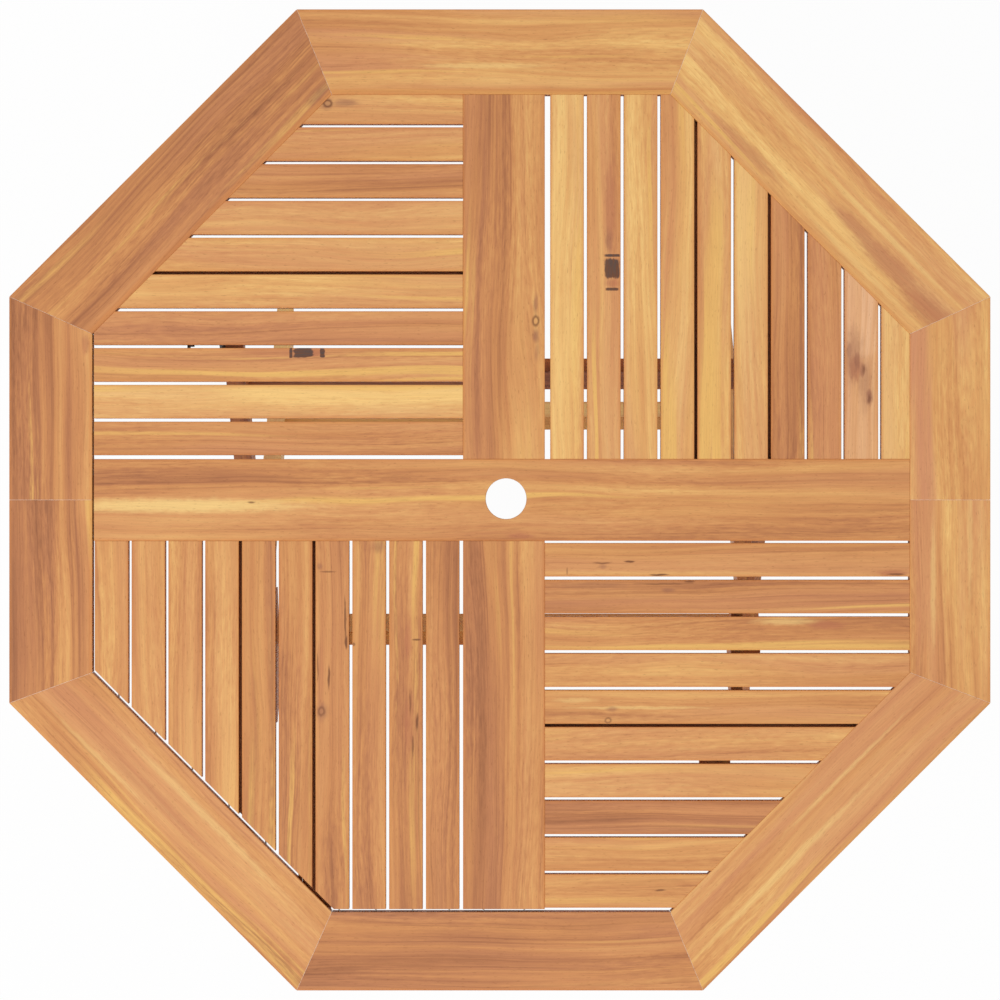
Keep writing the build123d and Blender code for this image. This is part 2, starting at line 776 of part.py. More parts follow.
# Legs: a straight board with a round top and a foot cut level with the floor
def make_leg(name, lean, leg_x, holes, dowels_in, screws_in, recess_facing):
    """One leg through the crossing; lean is the way its top leans along Y."""
    outline = []
    for edge in (1, -1):
        edge_y = -lean * edge * half_leg * along_z
        edge_z = cross_height + edge * half_leg * along_y
        to_floor = (glide_thick - edge_z) / along_z
        ends = [
            (edge_y + lean * along_y * upper_leg, edge_z + along_z * upper_leg),
            (edge_y + lean * along_y * to_floor, glide_thick),
        ]
        outline += ends if edge > 0 else ends[::-1]
    top_y = lean * along_y * upper_leg
    top_z = cross_height + along_z * upper_leg
    with BuildPart() as leg:
        with BuildSketch(Plane.YZ.offset(leg_x)):
            with BuildLine():
                Polyline(*outline, close=True)
            make_face()
            with Locations((top_y, top_z)):
                Circle(half_leg)
        extrude(amount=leg_thick)
        flat_faces = leg.faces().filter_by(Axis.X)
        chamfer(flat_faces.edges(), length=edge_ease)
        with BuildSketch(Plane.YZ.offset(leg_x)):
            with Locations(*holes):
                Circle(pivot_bolt_radius + running_room)
        extrude(amount=leg_thick, mode=Mode.SUBTRACT)
        if recess_facing:
            recess_x = leg_x + leg_thick / 2 - recess_facing * leg_thick / 2
            rod(
                (recess_x, top_y, top_z),
                (recess_facing, 0, 0),
                nut_recess_radius,
                nut_recess_depth,
                Mode.SUBTRACT,
            )
        for start, direction in dowels_in:
            rod(start, direction, dowel_radius + glue_gap, dowel_length, Mode.SUBTRACT)
        for start, direction in screws_in:
            rod(
                start,
                direction,
                rail_screw_radius + glue_gap,
                rail_thick + rail_screw_bite + glue_gap,
                Mode.SUBTRACT,
            )
    save(leg, name)


crossing = (0, cross_height)
top_pivot = (pivot_y, pivot_height)
for name, side in sides.items():
    outer_x = cross_shift + side * (outer_leg_in + leg_thick / 2) - leg_thick / 2
    inner_x = cross_shift + side * (leg_inside_half + leg_thick / 2) - leg_thick / 2
    make_leg(f"{name}_outer_leg", 1, outer_x, [crossing, top_pivot], [], outer_rail_screws, side)
    make_leg(f"{name}_inner_leg", -1, inner_x, [crossing], inner_rail_dowels, [], 0)

for name, (reach, facing) in outer_rail_faces.items():
    y, z = on_outer(reach, facing * half_leg)
    face = Plane(
        origin=(cross_shift, y, z),
        x_dir=(1, 0, 0),
        z_dir=(0, facing * along_z, -facing * along_y),
    )
    with BuildPart() as rail:
        with BuildSketch(face):
            Rectangle(2 * outer_leg_out, rail_width)
        extrude(amount=rail_thick)
        chamfer(rail.edges().filter_by(Axis.X), length=edge_ease)
        for start, direction in outer_rail_screws:
            rod(start, direction, rail_screw_radius + glue_gap, rail_thick, Mode.SUBTRACT)
            rod(
                start,
                direction,
                rail_screw_head_radius + glue_gap,
                rail_screw_head_height,
                Mode.SUBTRACT,
            )
    save(rail, name)

for name, reach in inner_rail_reaches.items():
    y, z = on_inner(reach, -rail_thick / 2)
    face = Plane(origin=(cross_shift, y, z), x_dir=(1, 0, 0), z_dir=(0, along_z, along_y))
    with BuildPart() as rail:
        with BuildSketch(face):
            Rectangle(2 * leg_inside_half, rail_width)
        extrude(amount=rail_thick)
        chamfer(rail.edges().filter_by(Axis.X), length=edge_ease)
        for start, direction in inner_rail_dowels:
            rod(start, direction, dowel_radius + glue_gap, dowel_length + glue_gap, Mode.SUBTRACT)
    save(rail, name)

with BuildPart() as rail_dowels:
    for start, direction in inner_rail_dowels:
        rod(start, direction, dowel_radius, dowel_length)
save(rail_dowels, "inner_rail_dowels")

with BuildPart() as rail_screws:
    for start, direction in outer_rail_screws:
        rod(start, direction, rail_screw_head_radius, rail_screw_head_height)
        rod(start, direction, rail_screw_radius, rail_thick + rail_screw_bite)
save(rail_screws, "outer_rail_screws")


# Crossing bolts, with washers between the legs, under the heads and under the nuts
with BuildPart() as crossing_bolts:
    for side in sides.values():
        seat = (cross_shift + side * (outer_leg_out + washer_thick), 0, cross_height)
        with BuildSketch(Plane(origin=seat, z_dir=(side, 0, 0))):
            RegularPolygon(radius=bolt_head_width / 2, side_count=6, major_radius=False)
        extrude(amount=bolt_head_height)
        bolt_length = outer_leg_out - leg_inside_half + 2 * washer_thick + nut_height
        rod(seat, (-side, 0, 0), pivot_bolt_radius, bolt_length)
save(crossing_bolts, "crossing_bolts")

with BuildPart() as crossing_washers:
    for side in sides.values():
        for washer_start in (leg_inside_half - washer_thick, inner_leg_out, outer_leg_out):
            start = (cross_shift + side * washer_start, 0, cross_height)
            rod(start, (side, 0, 0), washer_radius, washer_thick)
            rod(start, (side, 0, 0), pivot_bolt_radius + glue_gap, washer_thick, Mode.SUBTRACT)
save(crossing_washers, "crossing_washers")

with BuildPart() as crossing_nuts:
    for side in sides.values():
        start = (cross_shift + side * (leg_inside_half - washer_thick), 0, cross_height)
        with BuildSketch(Plane(origin=start, z_dir=(-side, 0, 0))):
            RegularPolygon(radius=bolt_head_width / 2, side_count=6, major_radius=False)
        extrude(amount=nut_height)
        rod(start, (-side, 0, 0), pivot_bolt_radius + glue_gap, nut_height, Mode.SUBTRACT)
save(crossing_nuts, "crossing_nuts")


# Foot glides under the four feet
foot_drop = (cross_height - glide_thick) / along_z
for name, lean, leg_middle in (
    ("outer_foot_glides", -1, outer_leg_in + leg_thick / 2),
    ("inner_foot_glides", 1, leg_inside_half + leg_thick / 2),
):
    with BuildPart() as glides:
        with BuildSketch():
            with Locations((cross_shift, lean * along_y * foot_drop)):
                with GridLocations(2 * leg_middle, 0, 2, 1):
                    Circle(glide_radius)
        extrude(amount=glide_thick)
        chamfer(glides.edges().group_by(Axis.Z)[0], length=glide_ease)
    save(glides, name)
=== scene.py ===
import json
from math import atan2, cos, hypot, pi, radians, sin

import bmesh
import bpy
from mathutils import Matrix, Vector


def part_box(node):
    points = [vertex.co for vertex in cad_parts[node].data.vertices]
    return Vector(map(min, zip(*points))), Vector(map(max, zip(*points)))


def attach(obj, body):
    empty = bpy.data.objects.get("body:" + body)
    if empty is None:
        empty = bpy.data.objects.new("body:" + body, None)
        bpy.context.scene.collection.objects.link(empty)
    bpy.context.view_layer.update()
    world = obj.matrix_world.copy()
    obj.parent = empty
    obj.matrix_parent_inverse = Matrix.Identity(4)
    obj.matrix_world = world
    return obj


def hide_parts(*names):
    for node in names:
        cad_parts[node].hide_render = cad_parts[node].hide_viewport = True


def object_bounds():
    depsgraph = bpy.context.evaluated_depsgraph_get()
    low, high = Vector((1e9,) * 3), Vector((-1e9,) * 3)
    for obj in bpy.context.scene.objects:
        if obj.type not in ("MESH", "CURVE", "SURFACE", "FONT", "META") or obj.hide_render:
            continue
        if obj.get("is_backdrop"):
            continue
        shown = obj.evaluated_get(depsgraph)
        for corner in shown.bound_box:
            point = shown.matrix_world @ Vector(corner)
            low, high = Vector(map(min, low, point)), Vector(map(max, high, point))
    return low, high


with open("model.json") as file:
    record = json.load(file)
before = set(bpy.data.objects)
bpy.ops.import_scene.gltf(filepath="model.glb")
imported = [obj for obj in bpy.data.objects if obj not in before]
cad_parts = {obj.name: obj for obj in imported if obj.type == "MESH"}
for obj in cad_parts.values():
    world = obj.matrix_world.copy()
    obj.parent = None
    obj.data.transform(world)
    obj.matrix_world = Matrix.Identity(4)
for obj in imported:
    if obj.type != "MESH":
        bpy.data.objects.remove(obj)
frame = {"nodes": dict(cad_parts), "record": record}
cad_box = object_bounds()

# Camera straight above the top, far enough for the slight perspective in the gaps
top_level = 0.75
camera_height = 5.0
camera_shift = (0.0002, -0.0001)
view_width = 1.2230
sensor_width = 36.0
clip_distance = 100.0

# Sizes, places and angles of the CAD that the wood grain and the screws follow
board_half = 0.05
ring_middle = 0.55
cross_shift = 0.005
slat_pitch = 0.045
slat_share = 41 / 45
slat_count = 10
leg_lean = 57.4
leg_crossing = 0.391


def tint(red, green, blue):
    """A colour as a picture shows it (sRGB, 0 to 255), made linear for the shader."""
    linear = []
    for level in (red, green, blue):
        share = level / 255
        linear.append(share / 12.92 if share <= 0.04045 else ((share + 0.055) / 1.055) ** 2.4)
    return (*linear, 1.0)


class Graph:
    """Short names for the nodes of one material or node group."""

    def __init__(self, tree):
        self.tree = tree

    def feed(self, socket, value):
        if isinstance(value, bpy.types.NodeSocket):
            self.tree.links.new(value, socket)
        else:
            socket.default_value = value

    def node(self, kind, inputs=None, **settings):
        made = self.tree.nodes.new(kind)
        for name, value in settings.items():
            setattr(made, name, value)
        for key, value in (inputs or {}).items():
            self.feed(made.inputs[key], value)
        return made

    def math(self, operation, first, second=0.0, third=0.0):
        made = self.node("ShaderNodeMath", operation=operation)
        for socket, value in zip(made.inputs, (first, second, third)):
            self.feed(socket, value)
        return made.outputs[0]

    def vector(self, x, y, z):
        return self.node("ShaderNodeCombineXYZ", {"X": x, "Y": y, "Z": z}).outputs[0]

    def split(self, vector):
        return self.node("ShaderNodeSeparateXYZ", {0: vector}).outputs

    def noise(self, vector, scale=1.0, detail=2.0):
        inputs = {"Vector": vector, "Scale": scale, "Detail": detail}
        return self.node("ShaderNodeTexNoise", inputs).outputs[0]

    def step(self, value, low, high, start=0.0, end=1.0):
        """Smooth change from start to end while value goes from low to high."""
        inputs = {"Value": value, "From Min": low, "From Max": high, "To Min": start, "To Max": end}
        made = self.node("ShaderNodeMapRange", inputs, interpolation_type="SMOOTHSTEP")
        return made.outputs[0]

    def mix(self, share, first, second, blend="MIX"):
        """Mix two colours, which are inputs 6 and 7 of the node, into its output 2."""
        made = self.node("ShaderNodeMix", data_type="RGBA", blend_type=blend)
        self.feed(made.inputs[0], share)
        self.feed(made.inputs[6], first)
        self.feed(made.inputs[7], second)
        return made.outputs[2]

    def ramp(self, value, stops, interpolation="LINEAR"):
        made = self.node("ShaderNodeValToRGB", {0: value})
        made.color_ramp.interpolation = interpolation
        elements = made.color_ramp.elements
        while len(elements) < len(stops):
            elements.new(1.0)
        for element, (place, colour) in zip(elements, stops):
            element.position = place
            element.color = colour
        return made.outputs[0]

    def bump(self, height, strength, depth):
        inputs = {"Strength": strength, "Distance": depth, "Height": height}
        return self.node("ShaderNodeBump", inputs).outputs[0]


def new_material(name):
    material = bpy.data.materials.new(name)
    material.use_nodes = True
    material.node_tree.nodes.clear()
    return material, Graph(material.node_tree)


def close_material(graph, shader):
    graph.node("ShaderNodeOutputMaterial", {"Surface": shader})


def close_surface(graph, colour, roughness, normal, settings=None):
    """Feed one principled shader and end the material with it."""
    shader = graph.node("ShaderNodeBsdfPrincipled", settings)
    graph.feed(shader.inputs["Base Color"], colour)
    graph.feed(shader.inputs["Roughness"], roughness)
    graph.feed(shader.inputs["Normal"], normal)
    close_material(graph, shader.outputs[0])


def new_group(name, inputs, outputs):
    group = bpy.data.node_groups.new(name, "ShaderNodeTree")
    for label, kind in inputs:
        group.interface.new_socket(name=label, in_out="INPUT", socket_type="NodeSocket" + kind)
    for label, kind in outputs:
        group.interface.new_socket(name=label, in_out="OUTPUT", socket_type="NodeSocket" + kind)
    graph = Graph(group)
    return group, graph, graph.node("NodeGroupInput").outputs, graph.node("NodeGroupOutput").inputs


# Oiled acacia, from pale gold through honey and russet to brown, and past that the darker browns of
# painted shade for the pieces below the top
deepest_tone = 1.6
acacia_tones = [
    (0.0, tint(243, 198, 124)),
    (0.25, tint(230, 176, 107)),
    (0.5, tint(217, 155, 94)),
    (0.75, tint(203, 137, 83)),
    (1.0, tint(181, 117, 74)),
    (1.3, tint(142, 87, 54)),
    (deepest_tone, tint(98, 59, 38)),
]

# Places on that scale; the two umbers, past brown, are painted shade
pale, light, gold, honey, tan, russet, brown, shade_umber = 0.1, 0.22, 0.38, 0.5, 0.62, 0.75, 0.9, 1.12
deep_shade_umber = 1.3

# Colours laid over it
sapwood = tint(243, 205, 132)
rose = tint(238, 188, 146)
yellow_gold = tint(236, 188, 104)
edge_orange = tint(209, 132, 68)
blush = tint(209, 142, 102)
heartwood = tint(180, 108, 76)
smoke_brown = tint(152, 98, 74)
dark_line = tint(150, 92, 58)
end_brown = tint(150, 98, 62)
dark_pore = tint(124, 74, 44)
crack_brown = tint(104, 58, 32)
knot_brown = tint(92, 56, 38)
knot_grey = tint(72, 58, 54)

# Layers of the grain: scale along the fibres, scale across them, shift along them, detail
grain_layers = {
    "broad": (1.3, 15, 2.0, 1.0),
    "band": (1.2, 50, 0.0, 2.0),
    "streak": (2.4, 180, 0.0, 3.0),
    "flame": (5.0, 24, 5.0, 3.0),
    "dash": (60, 420, 3.0, 2.0),
    "dash_patch": (3.0, 18, 17.0, 1.0),
    "fibre": (26, 900, 0.0, 2.0),
    "pore": (130, 900, 0.0, 1.0),
    "gold_line": (1.1, 64, 9.0, 2.0),
    "gold_zone": (2.0, 16, 31.0, 1.0),
    "pink": (1.8, 26, 21.0, 2.0),
    "rift": (2.2, 340, 13.0, 2.0),
}

# Layers that come in smoothly: from which level to which, then the share at either end if not 0 and 1
layer_steps = {
    "dash_patch": (0.40, 0.62, 0.25, 1.0),
    "pore": (0.64, 0.74),
    "gold_line": (0.56, 0.65),
    "gold_zone": (0.44, 0.60),
    "pink": (0.42, 0.62),
    "rift": (0.54, 0.66),
}

# How far the layers move the tone
tone_swings = {"broad": 0.85, "band": 1.05, "streak": 0.65, "flame": 0.55}
dash_swing = 0.62
knot_swing = 0.35

# How far a seed moves a board through the grain, and how the fibres wander
seed_steps = (1.37, 0.71, 0.53)
wander_along = 1.9
wander_across = 9.0
wander_reach = 0.05
knot_push = 0.006

# How strongly the colours are laid on, as smooth steps like those above or as plain shares
gold_fade = (0.6, 1.1, 0.7, 0.0)
rose_streaks = (0.38, 0.62, 1.2, 0.7)
rift_fade = (0.45, 0.95, 0.04, 0.42)
edge_fade = (0.0, 0.0045, 0.45, 0.0)
fibre_specks = (0.25, 0.75, 0.94, 1.06)
end_fade = (0.6, 0.9)
knot_cloud = (0.35, 0.65)
knot_fade = (0.3, 0.9, 0.0, 0.92)
pore_shade = 0.28
end_shade = 0.6

# Gloss of the oiled face, and what fibres, pores and sawn ends add to its roughness
wood_gloss = 0.3
oiled_roughness = 0.46
fibre_roughness = 0.16
pore_roughness = 0.15
end_roughness = 0.12

# Relief of streaks, pores and marks against the fibres, then the bump's strength and depth
streak_height = 0.5
pore_height = -0.8
mark_height = -1.2
wood_bump = (0.25, 0.0003)


def make_grain_group():
    """Acacia seen along its own grain: X runs with the fibres, Y across the face, Z through it."""
    numbers = ("Seed", "Warmth", "Blush", "Edge", "Sap", "Rose", "Heart", "Smoke", "Knot", "Crack")
    group, graph, given, wanted = new_group(
        "acacia_grain",
        [("Vector", "Vector"), ("Facing", "Vector"), *((label, "Float") for label in numbers)],
        [("Color", "Color"), ("Roughness", "Float"), ("Normal", "Vector")],
    )

    def centred(noise):
        return graph.math("SUBTRACT", noise, 0.5)

    along, side, depth = (
        graph.math("MULTIPLY_ADD", given["Seed"], step, place)
        for step, place in zip(seed_steps, graph.split(given["Vector"]))
    )

    # Fibres wander a little sideways on their way along the board, more around a knot
    way = graph.vector(
        graph.math("MULTIPLY", along, wander_along), graph.math("MULTIPLY", side, wander_across), depth
    )
    side = graph.math("MULTIPLY_ADD", centred(graph.noise(way)), wander_reach, side)
    side = graph.math("MULTIPLY_ADD", given["Knot"], knot_push, side)

    def layer(name):
        long_scale, cross_scale, shift, detail = grain_layers[name]
        place = graph.vector(
            graph.math("MULTIPLY_ADD", along, long_scale, shift),
            graph.math("MULTIPLY", side, cross_scale),
            graph.math("MULTIPLY", depth, cross_scale),
        )
        value = graph.noise(place, detail=detail)
        return graph.step(value, *layer_steps[name]) if name in layer_steps else value

    layers = {name: layer(name) for name in grain_layers}
    tone = given["Warmth"]
    for name, swing in tone_swings.items():
        tone = graph.math("MULTIPLY_ADD", centred(layers[name]), swing, tone)
    dashes = graph.math("MULTIPLY", centred(layers["dash"]), layers["dash_patch"])
    tone = graph.math("MULTIPLY_ADD", dashes, dash_swing, tone)
    tone = graph.math("MULTIPLY_ADD", given["Knot"], knot_swing, tone)

    stops = [(place / deepest_tone, shade) for place, shade in acacia_tones]
    colour = graph.ramp(graph.math("DIVIDE", tone, deepest_tone), stops)
    colour = graph.mix(graph.math("MULTIPLY", layers["pink"], given["Blush"]), colour, blush)
    gold_share = graph.math("MULTIPLY", layers["gold_line"], layers["gold_zone"])
    gold_share = graph.math("MULTIPLY", gold_share, graph.step(tone, *gold_fade))
    colour = graph.mix(gold_share, colour, yellow_gold)
    colour = graph.mix(given["Sap"], colour, sapwood)
    rose_share = graph.math("MULTIPLY", given["Rose"], graph.step(layers["streak"], *rose_streaks))
    colour = graph.mix(rose_share, colour, rose)
    colour = graph.mix(given["Heart"], colour, heartwood)
    colour = graph.mix(given["Smoke"], colour, smoke_brown)
    rift_share = graph.math("MULTIPLY", layers["rift"], graph.step(tone, *rift_fade))
    colour = graph.mix(rift_share, colour, dark_line)
    colour = graph.mix(graph.step(given["Edge"], *edge_fade), colour, edge_orange)
    speck = graph.step(layers["fibre"], *fibre_specks)
    colour = graph.mix(1.0, colour, graph.vector(speck, speck, speck), "MULTIPLY")
    colour = graph.mix(graph.math("MULTIPLY", layers["pore"], pore_shade), colour, dark_pore)

    # Sawn ends show darker, open end grain
    end = graph.step(graph.math("ABSOLUTE", graph.split(given["Facing"])[0]), *end_fade)
    colour = graph.mix(graph.math("MULTIPLY", end, end_shade), colour, end_brown)
    knot_shade = graph.mix(graph.step(layers["dash"], *knot_cloud), knot_brown, knot_grey)
    colour = graph.mix(graph.step(given["Knot"], *knot_fade), colour, knot_shade)
    colour = graph.mix(given["Crack"], colour, crack_brown)

    rough = graph.math("MULTIPLY_ADD", layers["fibre"], fibre_roughness, oiled_roughness)
    rough = graph.math("MULTIPLY_ADD", layers["pore"], pore_roughness, rough)
    rough = graph.math("MULTIPLY_ADD", end, end_roughness, rough)
    height = graph.math("MULTIPLY_ADD", layers["streak"], streak_height, layers["fibre"])
    height = graph.math("MULTIPLY_ADD", layers["pore"], pore_height, height)
    height = graph.math("MULTIPLY_ADD", given["Knot"], mark_height, height)
    height = graph.math("MULTIPLY_ADD", given["Crack"], mark_height, height)
    graph.feed(wanted["Color"], colour)
    graph.feed(wanted["Roughness"], rough)
    graph.feed(wanted["Normal"], graph.bump(height, *wood_bump))
    return group


grain_group = make_grain_group()


# How each kind of mark is drawn: how square its outline is, how ragged, and where its edge starts to fade
mark_kinds = {
    "Sap": (2.0, 0.6, 0.3),
    "Rose": (6.0, 0.3, 0.8),
    "Heart": (2.0, 0.6, 0.35),
    "Smoke": (2.0, 0.7, 0.2),
    "Knot": (6.0, 0.5, 0.7),
    "Crack": (2.0, 0.6, 0.4),
    "Ring": (2.0, 0.3, 0.6),
}

# Marks fade out a little past their outline, are ragged along and across the grain, and sway with it
mark_end = 1.2
ragged_along = 90.0
ragged_across = 300.0
sway_along = 45.0
sway_reach = 0.004
ring_hollow = (0.3, 0.7)


def spots(graph, coordinates, kind, marks):
    """Ragged patches on the face: place along and across the grain, half length, half width, strength."""
    total = 0.0
    if not marks:
        return total
    power, raggedness, fade = mark_kinds[kind]
    x, y, _ = graph.split(coordinates)
    rag_x = graph.math("MULTIPLY", x, ragged_along)
    rag_y = graph.math("MULTIPLY", y, ragged_across)
    ragged = graph.math("SUBTRACT", graph.noise(graph.vector(rag_x, rag_y, 0.0)), 0.5)
    sway = graph.noise(graph.vector(graph.math("MULTIPLY", x, sway_along), 0.0, 0.0))
    y = graph.math("MULTIPLY_ADD", graph.math("SUBTRACT", sway, 0.5), sway_reach, y)
    for along, side, half_length, half_width, strength in marks:
        far = graph.math("DIVIDE", graph.math("SUBTRACT", x, along), half_length)
        wide = graph.math("DIVIDE", graph.math("SUBTRACT", y, side), half_width)
        reach = graph.math("ADD", graph.math("POWER", far, power), graph.math("POWER", wide, power))
        reach = graph.math("POWER", reach, 1 / power)
        reach = graph.math("MULTIPLY_ADD", ragged, raggedness, reach)
        shade = graph.step(reach, fade, mark_end, strength, 0.0)
        if kind == "Ring":
            shade = graph.math("MULTIPLY", shade, graph.step(reach, *ring_hollow))
        total = graph.math("MAXIMUM", shade, total)
    return total


def finish_wood(graph, coordinates, facing, seed, warmth, redness, edge, marks):
    grain = graph.node("ShaderNodeGroup", node_tree=grain_group)
    patches = {kind: spots(graph, coordinates, kind, marks.get(kind, ())) for kind in mark_kinds}
    values = {
        "Vector": coordinates,
        "Facing": facing,
        "Seed": seed,
        "Warmth": warmth,
        "Blush": redness,
        "Edge": edge,
        "Sap": patches["Sap"],
        "Rose": patches["Rose"],
        "Heart": patches["Heart"],
        "Smoke": patches["Smoke"],
        "Knot": patches["Knot"],
        "Crack": graph.math("MAXIMUM", patches["Crack"], patches["Ring"]),
    }
    for label, value in values.items():
        graph.feed(grain.inputs[label], value)
    made = grain.outputs
    gloss = {"Specular IOR Level": wood_gloss}
    close_surface(graph, made["Color"], made["Roughness"], made["Normal"], gloss)


def grain_coordinates(graph, tip, turn):
    """Object coordinates and normals turned so that X follows the fibres."""
    source = graph.node("ShaderNodeTexCoord").outputs
    rotation = (radians(tip), 0.0, radians(turn))

    def turned(output, kind):
        inputs = {"Vector": source[output], "Rotation": rotation}
        return graph.node("ShaderNodeMapping", inputs, vector_type=kind).outputs[0]

    return turned("Object", "POINT"), turned("Normal", "NORMAL")


# Where across a board its warmer edge begins and is full, as shares of its half width
lean_fade = (-0.3, 0.2)


def wood_material(name, seed, warmth, middle, half, tip=0.0, turn=0.0, lean=0.0, redness=0.3, marks=None):
    """One board: warmth is its tone, middle and half place its width, lean makes one edge warmer."""
    material, graph = new_material(name + "_acacia")
    place, facing = grain_coordinates(graph, tip, turn)
    side = graph.split(place)[1]
    across = graph.math("DIVIDE", graph.math("SUBTRACT", side, middle), half)
    tone = graph.math("MULTIPLY_ADD", graph.step(across, *lean_fade), lean, warmth)
    edge = graph.math("MULTIPLY_ADD", graph.math("ABSOLUTE", across), -half, half)
    finish_wood(graph, place, facing, seed, tone, redness, edge, marks or {})
    return material


def slat_material(name, seed, tones, start, turn, redness, marks):
    """A quarter of slats: each takes its own tone and its own stretch of grain."""
    material, graph = new_material(name + "_acacia")
    place, facing = grain_coordinates(graph, 0.0, turn)
    side = graph.math("ABSOLUTE", graph.split(place)[1])
    count = graph.math("DIVIDE", graph.math("SUBTRACT", side, start), slat_pitch)
    number = graph.math("FLOOR", count)
    share = graph.math("SUBTRACT", count, number)
    off_middle = graph.math("ABSOLUTE", graph.math("SUBTRACT", share, 0.5))
    edge = graph.math("MULTIPLY", graph.math("SUBTRACT", slat_share / 2, off_middle), slat_pitch)
    stops = [(index / slat_count, (tone, tone, tone, 1.0)) for index, tone in enumerate(tones)]
    pick = graph.math("DIVIDE", graph.math("ADD", number, 0.5), slat_count)
    tone = graph.ramp(pick, stops, "CONSTANT")
    own_seed = graph.math("ADD", number, seed)
    finish_wood(graph, place, facing, own_seed, tone, redness, edge, marks)
    return material


def assign(node, material):
    for slot in frame["nodes"][node].material_slots:
        slot.material = material


# Frame boards: direction from the middle, seed, tone, how much warmer the outer edge is, redness
frame_boards = {
    "rear_frame_board": (90, 1, honey, 0.0, 0.6),
    "rear_right_diagonal_frame_board": (45, 2, light, 0.0, 0.4),
    "right_rear_frame_board": (0, 3, gold, 0.0, 0.9),
    "right_front_frame_board": (0, 4, honey, 0.0, 0.5),
    "front_right_diagonal_frame_board": (-45, 5, honey, 0.0, 0.5),
    "front_frame_board": (-90, 6, brown, 0.0, 0.2),
    "front_left_diagonal_frame_board": (-135, 7, tan, 0.1, 0.4),
    "left_front_frame_board": (180, 8, tan, 0.4, 0.1),
    "left_rear_frame_board": (180, 9, tan, 0.35, 0.1),
    "rear_left_diagonal_frame_board": (135, 10, russet, 0.15, 0.2),
}

# Marks in the wood, written as spots() takes them: Sap is pale sapwood, Heart brown heartwood, Smoke a
# stain, Crack a dark crack and Ring the dark line around an eye. In the slats, Rose is pinkish wood and
# Knot a black knot.
board_marks = {
    "rear_frame_board": {"Sap": ((-0.02, 0.531, 0.09, 0.004, 0.5),)},
    "rear_right_diagonal_frame_board": {
        "Sap": ((0.10, 0.564, 0.13, 0.005, 0.45), (0.11, 0.513, 0.11, 0.005, 0.4)),
        "Heart": (
            (0.075, 0.544, 0.05, 0.011, 0.55),
            (0.135, 0.540, 0.075, 0.016, 0.65),
            (0.215, 0.535, 0.08, 0.020, 0.7),
            (-0.09, 0.517, 0.07, 0.009, 0.45),
        ),
    },
    "rear_left_diagonal_frame_board": {"Smoke": ((0.195, 0.506, 0.024, 0.010, 0.6),)},
    "front_right_diagonal_frame_board": {
        "Sap": ((0.07, 0.565, 0.16, 0.006, 0.5), (-0.06, 0.535, 0.12, 0.003, 0.4)),
    },
    "front_left_diagonal_frame_board": {
        "Sap": ((-0.02, 0.528, 0.15, 0.006, 0.45), (0.12, 0.57, 0.09, 0.004, 0.4)),
        "Heart": ((0.05, 0.555, 0.12, 0.010, 0.3),),
    },
    "right_front_frame_board": {
        "Sap": ((0.10, 0.53, 0.09, 0.004, 0.45), (0.04, 0.575, 0.1, 0.004, 0.35)),
    },
    "left_rear_frame_board": {"Heart": ((0.19, 0.507, 0.014, 0.006, 0.5),)},
    "centre_board": {
        "Sap": ((-0.40, -0.007, 0.19, 0.0105, 0.8),),
        "Heart": ((0.025, -0.044, 0.02, 0.004, 0.6),),
        "Crack": ((-0.304, -0.003, 0.005, 0.0016, 0.7),),
    },
    "rear_cross_board": {
        "Smoke": (
            (0.2404, -0.0441, 0.0159, 0.0032, 0.6),
            (0.2000, -0.0438, 0.0110, 0.0049, 0.7),
            (0.1805, -0.0450, 0.0147, 0.0037, 0.4),
        ),
        "Ring": ((0.2188, -0.0439, 0.0076, 0.0051, 0.75),),
    },
}
for node, (direction, seed, warmth, lean, redness) in frame_boards.items():
    material = wood_material(
        node,
        seed,
        warmth,
        ring_middle,
        board_half,
        turn=90 - direction,
        lean=lean,
        redness=redness,
        marks=board_marks.get(node),
    )
    assign(node, material)

# Boards of the centre cross: seed, tone, middle, turn, how much browner the left edge is
cross_redness = 0.2
cross_boards = {
    "centre_board": (11, russet, 0.0, 0, 0.0),
    "rear_cross_board": (12, tan, -cross_shift, -90, 0.25),
    "front_cross_board": (13, honey, -cross_shift, -90, 0.35),
}
for node, (seed, warmth, middle, turn, lean) in cross_boards.items():
    material = wood_material(
        node,
        seed,
        warmth,
        middle,
        board_half,
        turn=turn,
        lean=lean,
        redness=cross_redness,
        marks=board_marks.get(node),
    )
    assign(node, material)

